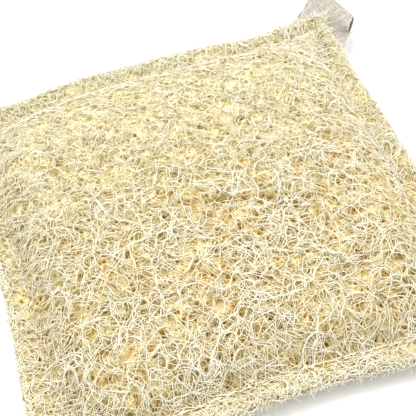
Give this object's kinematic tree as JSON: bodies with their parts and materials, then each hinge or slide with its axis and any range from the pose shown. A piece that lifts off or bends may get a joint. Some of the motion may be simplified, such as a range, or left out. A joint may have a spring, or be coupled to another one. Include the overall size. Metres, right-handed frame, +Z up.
{
  "type": "natural loofah sponge pad with hanging loop",
  "caption": "Square pillow-shaped scrubbing pad of natural loofah net, sewn a little inside its edge, with a folded woven tape loop caught in one corner.",
  "frame": {"origin": "middle of the flat spot on the under side that the pad rests on", "axes": "+Z up through the pad's thickness; the pad's sides run along X and Y; the tape loop is at the +X +Y corner"},
  "size_m": [0.1527, 0.156, 0.0216],
  "materials": {
    "loofah_fibre": "dry, matt, pale cream plant fibre with yellow to tan depths",
    "twill_tape": "matt grey-beige woven cotton tape with diagonal ribs",
    "cotton_thread": "matt off-white twisted sewing thread"
  },
  "bodies": {
    "root": {"loofah_front": "loofah_fibre", "loofah_back": "loofah_fibre", "hanging_loop": "twill_tape", "seam_thread_front": "cotton_thread", "seam_thread_back": "cotton_thread", "loop_tack_front": "cotton_thread", "loop_tack_back": "cotton_thread"}
  },
  "joints": []
}
